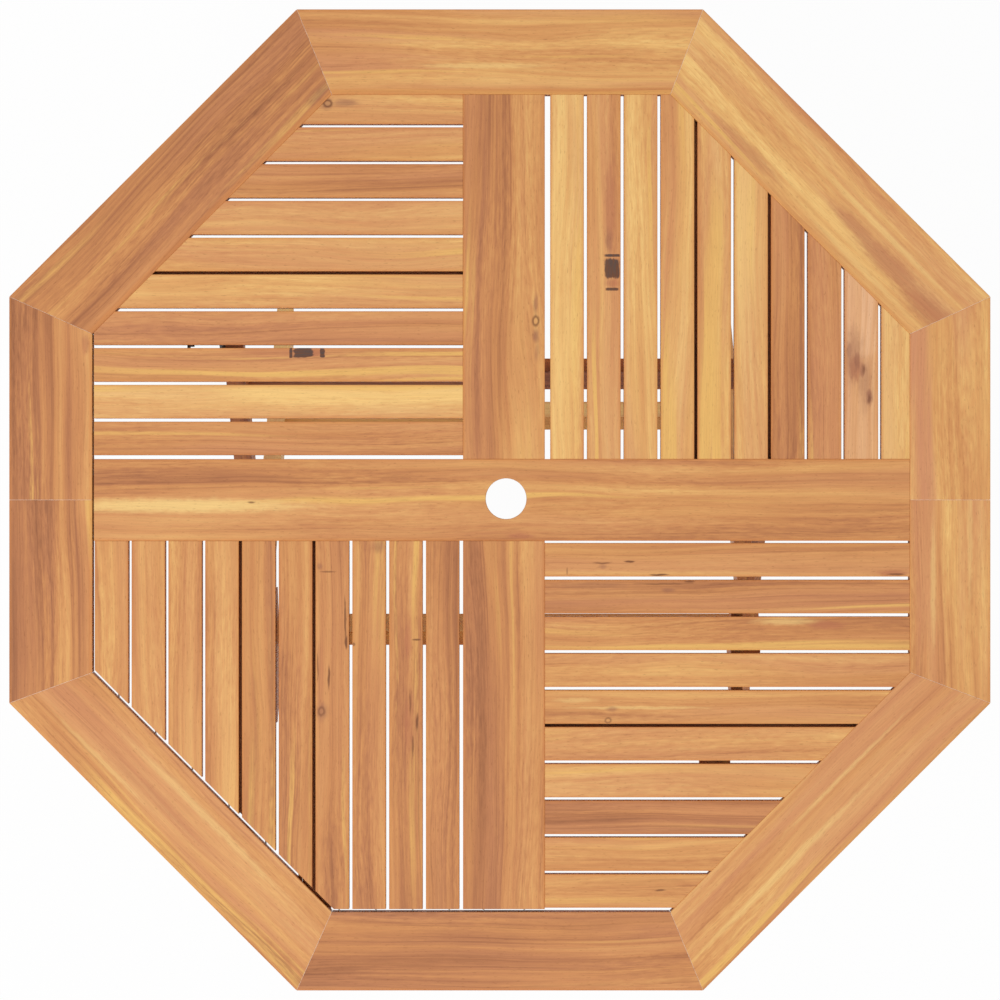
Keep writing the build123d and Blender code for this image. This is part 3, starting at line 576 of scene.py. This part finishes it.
# Slats, counted from the middle of the table outwards: seed, first edge, turn, redness, tones, marks
slat_quarters = {
    "rear_left_slats": (
        20,
        0.0528,
        0,
        0.35,
        (0.84, pale, honey, russet, 0.42, 0.34, 0.32, 0.68, honey, honey),
        {
            "Heart": (
                (-0.2800, 0.1820, 0.0600, 0.0060, 0.45),
                (-0.2246, 0.1805, 0.0122, 0.0073, 0.7),
            ),
            "Smoke": (
                (-0.1891, 0.4855, 0.0208, 0.0061, 0.6),
                (-0.2124, 0.4849, 0.0110, 0.0098, 0.5),
            ),
            "Knot": (
                (-0.2405, 0.1801, 0.0128, 0.0064, 1.0),
                (-0.2555, 0.1811, 0.0021, 0.0079, 0.9),
                (-0.2170, 0.1801, 0.0032, 0.0064, 0.95),
            ),
            "Ring": ((-0.2105, 0.4855, 0.0066, 0.0056, 0.8),),
        },
    ),
    "rear_right_slats": (
        40,
        0.0598,
        -90,
        0.4,
        (0.3, 0.46, 0.26, gold, 0.47, light, 0.86, brown, gold, 0.12),
        {
            "Rose": (
                (0.1500, -0.4403, 0.1500, 0.0225, 0.4),
                (0.2300, -0.4403, 0.0600, 0.0225, 0.65),
            ),
            "Heart": (
                (0.3570, -0.1350, 0.0700, 0.0080, 0.6),
                (0.2648, -0.1373, 0.0061, 0.0098, 0.6),
                (0.1609, -0.4356, 0.0183, 0.0110, 0.6),
            ),
            "Smoke": (
                (0.3174, -0.1336, 0.0171, 0.0061, 0.5),
                (0.1760, -0.4320, 0.0420, 0.0150, 0.5),
                (0.1420, -0.4470, 0.0400, 0.0110, 0.45),
                (0.1829, -0.4271, 0.0190, 0.0061, 0.65),
                (0.1707, -0.4368, 0.0190, 0.0061, 0.75),
                (0.1580, -0.4442, 0.0150, 0.0049, 0.7),
                (0.1264, -0.4515, 0.0150, 0.0055, 0.85),
            ),
            "Knot": (
                (0.2832, -0.1373, 0.0128, 0.0100, 1.0),
                (0.2990, -0.1373, 0.0018, 0.0100, 0.9),
                (0.2578, -0.1373, 0.0020, 0.0092, 0.85),
            ),
            "Crack": (
                (0.1597, -0.4448, 0.0073, 0.0020, 0.45),
                (0.1230, -0.4515, 0.0061, 0.0022, 0.5),
            ),
        },
    ),
    "front_left_slats": (
        60,
        0.0474,
        -90,
        0.15,
        (brown, russet, tan, russet, russet, tan, honey, honey, honey, honey),
        {
            "Heart": (
                (-0.1717, 0.1121, 0.0293, 0.0061, 0.45),
                (-0.2719, 0.1084, 0.0465, 0.0110, 0.45),
                (-0.2206, 0.2197, 0.0489, 0.0049, 0.3),
            ),
            "Smoke": (
                (-0.0812, 0.2209, 0.0049, 0.0049, 0.5),
                (-0.0567, 0.1488, 0.0098, 0.0110, 0.5),
                (-0.2585, 0.2185, 0.0134, 0.0098, 0.55),
            ),
            "Crack": (
                (-0.0878, 0.2102, 0.0013, 0.0110, 0.55),
                (-0.1472, 0.1891, 0.0330, 0.0016, 0.7),
                (-0.1741, 0.1879, 0.0098, 0.0021, 0.85),
                (-0.1765, 0.1784, 0.0027, 0.0022, 0.6),
                (-0.1709, 0.1017, 0.0015, 0.0067, 0.75),
                (-0.2175, 0.2092, 0.0159, 0.0017, 0.8),
                (-0.2034, 0.2228, 0.0196, 0.0013, 0.5),
                (-0.2487, 0.1097, 0.0183, 0.0015, 0.55),
                (-0.2719, 0.1009, 0.0122, 0.0018, 0.8),
                (-0.3012, 0.1066, 0.0147, 0.0016, 0.6),
            ),
            "Ring": ((-0.2585, 0.2185, 0.0067, 0.0049, 0.55),),
        },
    ),
    "front_right_slats": (
        80,
        0.0508,
        0,
        0.3,
        (0.46, brown, tan, 0.58, gold, gold, gold, 1.08, 0.66, honey),
        {
            "Sap": (
                (0.3500, -0.1480, 0.0450, 0.0060, 0.55),
                (0.1715, -0.2542, 0.0978, 0.0024, 0.5),
                (0.0921, -0.2450, 0.0306, 0.0037, 0.4),
            ),
            "Heart": (
                (0.4000, -0.1530, 0.0260, 0.0060, 0.65),
                (0.4800, -0.0900, 0.0240, 0.0050, 0.65),
            ),
            "Smoke": (
                (0.1263, -0.0812, 0.0061, 0.0037, 0.5),
                (0.1165, -0.1044, 0.0611, 0.0061, 0.35),
                (0.2058, -0.1105, 0.0110, 0.0037, 0.6),
                (0.1373, -0.2560, 0.0086, 0.0037, 0.5),
            ),
            "Crack": (
                (0.1257, -0.0769, 0.0134, 0.0013, 0.6),
                (0.1587, -0.0753, 0.0073, 0.0016, 0.85),
                (0.1948, -0.0913, 0.0122, 0.0015, 0.85),
                (0.0823, -0.0873, 0.0012, 0.0055, 0.45),
                (0.2009, -0.1026, 0.0367, 0.0013, 0.5),
                (0.2327, -0.1003, 0.0073, 0.0015, 0.7),
                (0.4851, -0.0910, 0.0122, 0.0018, 0.7),
                (0.1960, -0.4771, 0.0073, 0.0016, 0.7),
            ),
            "Ring": ((0.1324, -0.2695, 0.0049, 0.0039, 0.6),),
        },
    ),
}
for node, (seed, start, turn, redness, tones, marks) in slat_quarters.items():
    assign(node, slat_material(node, seed, tones, start, turn, redness, marks))

# Legs lean in the plane of the fold, and a very wide half keeps the warm edge off them
edgeless = (0.0, 1.0)
first_leg_seed = 101
# Painted light and shade: the outer legs' umber is painted shade under the top and the left inner leg's
# pale is painted light, though all legs are the same acacia
legs = {
    "left_outer_leg": (shade_umber, -leg_lean),
    "right_outer_leg": (shade_umber, -leg_lean),
    "left_inner_leg": (pale, leg_lean),
    "right_inner_leg": (russet, leg_lean),
}
for seed, (node, (warmth, lean)) in enumerate(legs.items(), first_leg_seed):
    assign(node, wood_material(node, seed, warmth, *edgeless, tip=lean, turn=-90))

# The other pieces below the top lie along an axis
first_under_seed = 110
# Painted shade and light: umber and deep umber on the outer upper rail, the battens and the cleat paint
# the shade under the top, and pale on the inner rails paints the light that reaches them
under_pieces = {
    "outer_upper_rail": shade_umber,
    "outer_lower_rail": brown,
    "inner_upper_rail": pale,
    "inner_lower_rail": pale,
    "rear_left_batten": shade_umber,
    "front_right_batten": deep_shade_umber,
    "rear_right_inner_batten": shade_umber,
    "rear_right_outer_batten": shade_umber,
    "front_left_inner_batten": shade_umber,
    "front_left_outer_batten": shade_umber,
    "front_cleat": shade_umber,
    "left_catch_block": brown,
    "right_catch_block": brown,
}
for seed, (node, warmth) in enumerate(under_pieces.items(), first_under_seed):
    low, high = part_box(node)
    lengthwise = high.y - low.y > high.x - low.x
    middle = -(low.x + high.x) / 2 if lengthwise else (low.y + high.y) / 2
    half = (high.x - low.x) / 2 if lengthwise else (high.y - low.y) / 2
    assign(node, wood_material(node, seed, warmth, middle, half, turn=-90 if lengthwise else 0))


# Zinc plate: its shades, the dull clouds on it, and what clouds and grit add to its roughness
zinc_shades = [(0.3, tint(196, 194, 186)), (0.7, tint(214, 214, 212))]
dull_zinc = tint(176, 170, 150)
dull_fade = (0.55, 0.75, 0.0, 0.4)
cloud_roughness = 0.15
grit_roughness = 0.2
plated_polish = 0.2
bright_polish = 0.02


def zinc_material(name, polish):
    """Zinc plate, where polish is the least roughness."""
    material, graph = new_material(name)
    place = graph.node("ShaderNodeTexCoord").outputs["Object"]
    cloud = graph.noise(place, scale=180.0, detail=3.0)
    grit = graph.noise(place, scale=1600.0, detail=2.0)
    colour = graph.mix(graph.step(cloud, *dull_fade), graph.ramp(cloud, zinc_shades), dull_zinc)
    rough = graph.math("MULTIPLY_ADD", cloud, cloud_roughness, polish)
    rough = graph.math("MULTIPLY_ADD", grit, grit_roughness, rough)
    normal = graph.bump(grit, strength=0.15, depth=0.0001)
    close_surface(graph, colour, rough, normal, {"Metallic": 1.0})
    return material


def plain_material(name, cloud, shades, rough, grit, bump):
    """A clouded surface with a fine bump.

    cloud and grit are scale and detail, rough is swing and base, bump is strength and depth.
    """
    material, graph = new_material(name)
    place = graph.node("ShaderNodeTexCoord").outputs["Object"]
    clouds = graph.noise(place, *cloud)
    roughness = graph.math("MULTIPLY_ADD", clouds, *rough)
    normal = graph.bump(graph.noise(place, *grit), *bump)
    close_surface(graph, graph.ramp(clouds, shades), roughness, normal)
    return material


zinc = zinc_material("zinc_plated_steel", plated_polish)
bright_pins = zinc_material("bright_pins", bright_polish)
black_steel = plain_material(
    "black_coated_steel",
    cloud=(70.0, 4.0),
    shades=[(0.35, tint(28, 28, 29)), (0.7, tint(46, 45, 44))],
    rough=(0.25, 0.34),
    grit=(900.0, 2.0),
    bump=(0.25, 0.0002),
)
glide_plastic = plain_material(
    "glide_plastic",
    cloud=(160.0, 3.0),
    shades=[(0.35, tint(50, 50, 52)), (0.75, tint(78, 77, 76))],
    rough=(0.3, 0.42),
    grit=(1200.0, 2.0),
    bump=(0.3, 0.0002),
)
# Pale cream shades for the painted highlight along the frame's joints
painted_joint_highlight = plain_material(
    "painted_joint_highlight",
    cloud=(220.0, 3.0),
    shades=[(0.3, tint(246, 218, 194)), (0.7, tint(252, 236, 220))],
    rough=(0.3, 0.4),
    grit=(220.0, 3.0),
    bump=(0.2, 0.0001),
)
dowel_seed = 130
dowel_wood = wood_material("dowels", dowel_seed, pale, *edgeless)
slot_materials = {
    "zinc_steel": zinc,
    "black_steel": black_steel,
    "glide_plastic": glide_plastic,
    "dowel_wood": dowel_wood,
}
for part in frame["record"]["subparts"]:
    if part["material_slot"] in slot_materials:
        assign(part["node"], slot_materials[part["material_slot"]])
assign("front_pins", bright_pins)


def bridge(shape, first, last):
    """Faces between two rings of corners."""
    for index, corner in enumerate(first):
        following = (index + 1) % len(first)
        shape.faces.new((corner, first[following], last[following], last[index]))


def add_piece(name, shape, material):
    """Turn a finished bmesh into an object of the scene."""
    bmesh.ops.recalc_face_normals(shape, faces=shape.faces)
    mesh = bpy.data.meshes.new(name)
    shape.to_mesh(mesh)
    shape.free()
    mesh.materials.append(material)
    piece = bpy.data.objects.new(name, mesh)
    bpy.context.scene.collection.objects.link(piece)
    return piece


# Frame joints: eight mitres from corner to corner, and a butt joint in each of the long sides
outer_reach = 0.6
inner_reach = 0.5
inner_shift = (0.0015, -0.004)
mitre_count = 8
mitre_turn = 360 / mitre_count
# The pale painted highlight along each joint: half width, inset from the ends, drop below the top, depth,
# waves and steps
highlight_half_width = 0.00019
highlight_inset = 0.001
highlight_drop = 0.0003
highlight_depth = 0.008
highlight_top = top_level - highlight_drop
highlight_bottom = top_level - highlight_depth
highlight_waves = 0.00008
highlight_wave_step = 2.1
highlight_steps = 24


def frame_joints():
    joints = []
    stretch = 1 / cos(radians(mitre_turn / 2))
    for corner in range(mitre_count):
        turn = radians(mitre_turn / 2 + mitre_turn * corner)
        inner = Vector((inner_reach * stretch * cos(turn), inner_reach * stretch * sin(turn)))
        outer = Vector((outer_reach * stretch * cos(turn), outer_reach * stretch * sin(turn)))
        joints.append((inner + Vector(inner_shift), outer))
    for side in (-1, 1):
        inner = Vector((inner_shift[0] + side * inner_reach, 0.0))
        joints.append((inner, Vector((side * outer_reach, 0.0))))
    return joints


def make_joint_highlight_lines():
    """Pale lines along the frame's joints, a painted highlight where the joints' edges would catch the
    light.
    """
    shape = bmesh.new()
    for number, (start, end) in enumerate(frame_joints()):
        length = (end - start).length
        along = (end - start) / length
        across = Vector((-along.y, along.x)) * highlight_half_width
        rings = []
        for step in range(highlight_steps + 1):
            point = start + along * (highlight_inset + (length - 2 * highlight_inset) * step / highlight_steps)
            top = highlight_top + highlight_waves * sin(highlight_wave_step * step + number)
            corners = ((1, highlight_bottom), (1, top), (-1, top), (-1, highlight_bottom))
            rings.append(
                [
                    shape.verts.new((point.x + side * across.x, point.y + side * across.y, level))
                    for side, level in corners
                ]
            )
        for first, last in zip(rings, rings[1:]):
            bridge(shape, first, last)
        shape.faces.new(rings[0][::-1])
        shape.faces.new(rings[-1])
    lines = add_piece("joint_highlight_lines", shape, painted_joint_highlight)
    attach(lines, "tabletop")


make_joint_highlight_lines()


# Screws: a domed head with a cross recess and a pointed shank, as shares of the head's radius or height
screw_sides = 24
dome_drop = 0.22
dome_rings = (0.72, 0.9, 1.0)
recess_arm = 0.58
recess_half = 0.15
recess_floor = 0.6
recess_depth = 0.55

# The point of a screw: its length and its blunt tip, as shares of the shank's radius
point_share = 3.0
point_tip = 0.3

# Bolts and nuts: hexagons with turned chamfers, a dished head, a threaded end
hex_sides = 48
chamfer_slope = 0.577
chamfer_circle = 0.94
dish_circle = 0.7
dish_floor = 0.62
dish_depth = 0.0003
thread_pitch = 0.00125
thread_share = 0.88
thread_turns = 9
bore_ease = 0.0004

# Edges that turn by more degrees than this are shaded sharp
sharp_angle = 30

# Reading the CAD corners: decimals that tell two apart, what counts as level with a face, and the
# share of a head's reach beyond which a corner belongs to the head
key_places = 6
level_with = 1e-5
screw_head_share = 0.9
bolt_head_share = 0.99


def solids_of(node):
    """Corner points of each separate solid in a CAD node."""
    piece = frame["nodes"][node]
    keys = [
        tuple(round(level, key_places) for level in piece.matrix_world @ corner.co)
        for corner in piece.data.vertices
    ]
    owner = {key: key for key in keys}

    def root(key):
        while owner[key] != key:
            key = owner[key]
        return key

    for edge in piece.data.edges:
        first, last = (root(keys[index]) for index in edge.vertices)
        owner[first] = last
    groups = {}
    for key in owner:
        groups.setdefault(root(key), []).append(Vector(key))
    return list(groups.values())


def add_screw(shape, points, inward):
    depths = [point.dot(inward) for point in points]
    face, tip = min(depths), max(depths)
    outside = [point for point, depth in zip(points, depths) if depth - face < level_with]
    middle = sum(outside, Vector()) / len(outside)

    def reach(point, depth):
        return (point - middle - inward * (depth - face)).length

    head = max((point - middle).length for point in outside)
    edge = screw_head_share * head
    under = [depth for point, depth in zip(points, depths) if reach(point, depth) > edge]
    head_height = max(under) - face
    ends = [point for point, depth in zip(points, depths) if tip - depth < level_with]
    shank = max(reach(point, tip) for point in ends)
    length = tip - face
    turn = Vector((0, 0, 1)).rotation_difference(inward)

    def corner(x, y, depth):
        return shape.verts.new(middle + turn @ Vector((x, y, depth)))

    def ring(radius, depth):
        steps = [2 * pi * index / screw_sides for index in range(screw_sides)]
        return [corner(radius * cos(step), radius * sin(step), depth) for step in steps]

    def dome(radius):
        return dome_drop * radius * radius / head

    def cross(share, depth=None):
        outline = []
        arm, half = recess_arm * head * share, recess_half * head * share
        for quarter in range(4):
            spin = pi / 2 * quarter
            for x, y in ((arm, -half), (arm, half), (half, half)):
                level = dome(hypot(x, y)) if depth is None else depth
                turned_x = x * cos(spin) - y * sin(spin)
                turned_y = x * sin(spin) + y * cos(spin)
                outline.append(corner(turned_x, turned_y, level))
        return outline

    mouth = cross(1.0)
    floor = cross(recess_floor, recess_depth * head_height)
    bridge(shape, floor, mouth)
    shape.faces.new(floor)
    rings = [ring(share * head, dome(share * head)) for share in dome_rings]

    # The first ring has two sides for each corner of the cross
    for number, start in enumerate(mouth):
        low = 2 * number - 1
        arc = [rings[0][(low + step) % screw_sides] for step in range(3)]
        shape.faces.new([start, *arc, mouth[(number + 1) % len(mouth)]])
    rings.append(ring(head, head_height))
    rings.append(ring(shank, head_height))
    rings.append(ring(shank, length - point_share * shank))
    rings.append(ring(point_tip * shank, length))
    for first, last in zip(rings, rings[1:]):
        bridge(shape, first, last)
    shape.faces.new(rings[-1])


def off_axis(point, middle_y, middle_z):
    """How far a point stands from an axis along X."""
    return hypot(point.y - middle_y, point.z - middle_z)


def hex_profile(points):
    """Middle of a hexagon about X, half its width over the flats, and the turn of one flat."""
    middle_y = (min(point.y for point in points) + max(point.y for point in points)) / 2
    middle_z = (min(point.z for point in points) + max(point.z for point in points)) / 2
    far = max(points, key=lambda point: round(off_axis(point, middle_y, middle_z), key_places))
    corner_turn = atan2(far.z - middle_z, far.y - middle_y)
    half = off_axis(far, middle_y, middle_z) * cos(pi / 6)
    return middle_y, middle_z, half, corner_turn + pi / 6


def hex_reach(half, flat_turn, step):
    return half / cos((step - flat_turn + pi / 6) % (pi / 3) - pi / 6)


def hex_rings(shape, middle_y, middle_z, half, flat_turn):
    """Makers of round rings and of hexagon rings that meet the chamfer."""
    steps = [2 * pi * index / hex_sides for index in range(hex_sides)]

    def corner(reach, step, x):
        return shape.verts.new((x, middle_y + reach * cos(step), middle_z + reach * sin(step)))

    def round_ring(radius, x):
        return [corner(radius, step, x) for step in steps]

    def hex_ring(x, away=0.0):
        ring = []
        for step in steps:
            reach = hex_reach(half, flat_turn, step)
            ring.append(corner(reach, step, x - away * (reach - chamfer_circle * half) * chamfer_slope))
        return ring

    return round_ring, hex_ring


def add_bolt(shape, points):
    middle_y, middle_z, half, flat_turn = hex_profile(points)
    edge = bolt_head_share * half
    head = [point.x for point in points if off_axis(point, middle_y, middle_z) > edge]
    shank = min(off_axis(point, middle_y, middle_z) for point in points if point.x not in head)
    near, far = min(head), max(head)
    ends = [point.x for point in points]
    away = 1.0 if max(ends) - far < near - min(ends) else -1.0
    seat, face = (near, far) if away > 0 else (far, near)
    tip = min(ends) if away > 0 else max(ends)
    round_ring, hex_ring = hex_rings(shape, middle_y, middle_z, half, flat_turn)
    rings = [
        round_ring(dish_floor * half, face - away * dish_depth),
        round_ring(dish_circle * half, face),
        round_ring(chamfer_circle * half, face),
        hex_ring(face, away),
        hex_ring(seat),
        round_ring(shank, seat),
    ]
    for turn in range(thread_turns, 0, -1):
        rings.append(round_ring(shank, tip + away * turn * thread_pitch))
        rings.append(round_ring(shank * thread_share, tip + away * (turn - 0.5) * thread_pitch))
    rings.append(round_ring(shank * thread_share, tip))
    for first, last in zip(rings, rings[1:]):
        bridge(shape, first, last)
    shape.faces.new(rings[0])
    shape.faces.new(rings[-1])


def add_nut(shape, points):
    middle_y, middle_z, half, flat_turn = hex_profile(points)
    bore = min(off_axis(point, middle_y, middle_z) for point in points)
    low, high = min(point.x for point in points), max(point.x for point in points)
    round_ring, hex_ring = hex_rings(shape, middle_y, middle_z, half, flat_turn)
    rings = [
        round_ring(bore + bore_ease, low),
        round_ring(chamfer_circle * half, low),
        hex_ring(low, -1.0),
        hex_ring(high, 1.0),
        round_ring(chamfer_circle * half, high),
        round_ring(bore + bore_ease, high),
        round_ring(bore, high - bore_ease),
        round_ring(bore, low + bore_ease),
    ]
    for first, last in zip(rings, rings[1:] + rings[:1]):
        bridge(shape, first, last)


def rail_screw_direction(points):
    """Screws of the outer rails run square to the legs, up at the upper rail and down at the lower one."""
    height = sum(point.z for point in points) / len(points)
    lean = radians(leg_lean)
    facing = 1 if height > leg_crossing else -1
    return Vector((0.0, -facing * sin(lean), facing * cos(lean)))


def add_upright_screw(shape, points):
    add_screw(shape, points, Vector((0, 0, 1)))


def add_rail_screw(shape, points):
    add_screw(shape, points, rail_screw_direction(points))


def make_hardware(node, add):
    """One shaped piece that stands for a CAD node of screws, bolts or nuts."""
    shape = bmesh.new()
    for points in solids_of(node):
        add(shape, points)
    piece = add_piece(node + "_shaped", shape, zinc)
    piece.data.polygons.foreach_set("use_smooth", [True] * len(piece.data.polygons))
    piece.data.set_sharp_from_angle(angle=radians(sharp_angle))
    bodies = frame["record"]["behaviour"]["bodies"]
    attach(piece, next(body for body, nodes in bodies.items() if node in nodes))
    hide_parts(node)


hardware = {
    "batten_screws": add_upright_screw,
    "bracket_screws": add_upright_screw,
    "catch_block_screws": add_upright_screw,
    "outer_rail_screws": add_rail_screw,
    "top_pivot_bolts": add_bolt,
    "crossing_bolts": add_bolt,
    "top_pivot_nuts": add_nut,
    "crossing_nuts": add_nut,
}
for node, add in hardware.items():
    make_hardware(node, add)


# Stage: a white floor that keeps the shadow, one soft lamp, and an even sky
white = (1.0, 1.0, 1.0, 1.0)
floor_grey = (0.86, 0.86, 0.86, 1.0)
floor_reach = 8.0
floor_lift = 0.96
lamp_size = 2.6
lamp_energy = 135.0
lamp_place = (-2.4, -2.6, 5.2)
sky_light = 0.68
sky_lift = 0.32


def seen_directly(graph):
    """1 for rays that show the backdrop itself, in the camera, in metal or in glass."""
    rays = graph.node("ShaderNodeLightPath").outputs
    seen = graph.math("MAXIMUM", rays["Is Camera Ray"], rays["Is Glossy Ray"])
    return graph.math("MAXIMUM", seen, rays["Is Transmission Ray"])


def make_floor():
    mesh = bpy.data.meshes.new("floor")
    reach = floor_reach
    corners = [(-reach, -reach, 0.0), (reach, -reach, 0.0), (reach, reach, 0.0), (-reach, reach, 0.0)]
    mesh.from_pydata(corners, [], [(0, 1, 2, 3)])
    floor = bpy.data.objects.new("floor", mesh)
    bpy.context.scene.collection.objects.link(floor)
    material, graph = new_material("pale_floor")
    matte = graph.node("ShaderNodeBsdfDiffuse", {"Color": floor_grey}).outputs[0]
    glow = graph.node("ShaderNodeEmission", {"Color": white, "Strength": 1.0}).outputs[0]
    lift = graph.math("MULTIPLY", seen_directly(graph), floor_lift)
    blended = graph.node("ShaderNodeMixShader", {0: lift, 1: matte, 2: glow}).outputs[0]
    close_material(graph, blended)
    mesh.materials.append(material)
    floor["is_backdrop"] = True


def make_light():
    lamp = bpy.data.lights.new("soft_lamp", "AREA")
    lamp.shape = "DISK"
    lamp.size = lamp_size
    lamp.energy = lamp_energy
    holder = bpy.data.objects.new("soft_lamp", lamp)
    bpy.context.scene.collection.objects.link(holder)
    holder.location = lamp_place
    aim = Vector((0.0, 0.0, top_level)) - holder.location
    holder.rotation_euler = aim.to_track_quat("-Z", "Y").to_euler()

    world = bpy.data.worlds.new("studio")
    bpy.context.scene.world = world
    world.use_nodes = True
    world.node_tree.nodes.clear()
    graph = Graph(world.node_tree)
    strength = graph.math("MULTIPLY_ADD", seen_directly(graph), sky_lift, sky_light)
    sky = graph.node("ShaderNodeBackground", {"Color": white, "Strength": strength}).outputs[0]
    graph.node("ShaderNodeOutputWorld", {"Surface": sky})


def make_camera():
    camera = bpy.data.cameras.new("camera")
    camera.sensor_fit = "HORIZONTAL"
    camera.sensor_width = sensor_width
    camera.lens = sensor_width * camera_height / view_width
    camera.clip_end = clip_distance
    holder = bpy.data.objects.new("camera", camera)
    bpy.context.scene.collection.objects.link(holder)
    holder.location = (*camera_shift, top_level + camera_height)
    bpy.context.scene.camera = holder


make_floor()
make_light()
make_camera()
bpy.context.scene.view_settings.view_transform = "Standard"

boxes = {"cad": cad_box, "visual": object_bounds()}
plain_boxes = {name: [list(map(float, corner)) for corner in box] for name, box in boxes.items()}
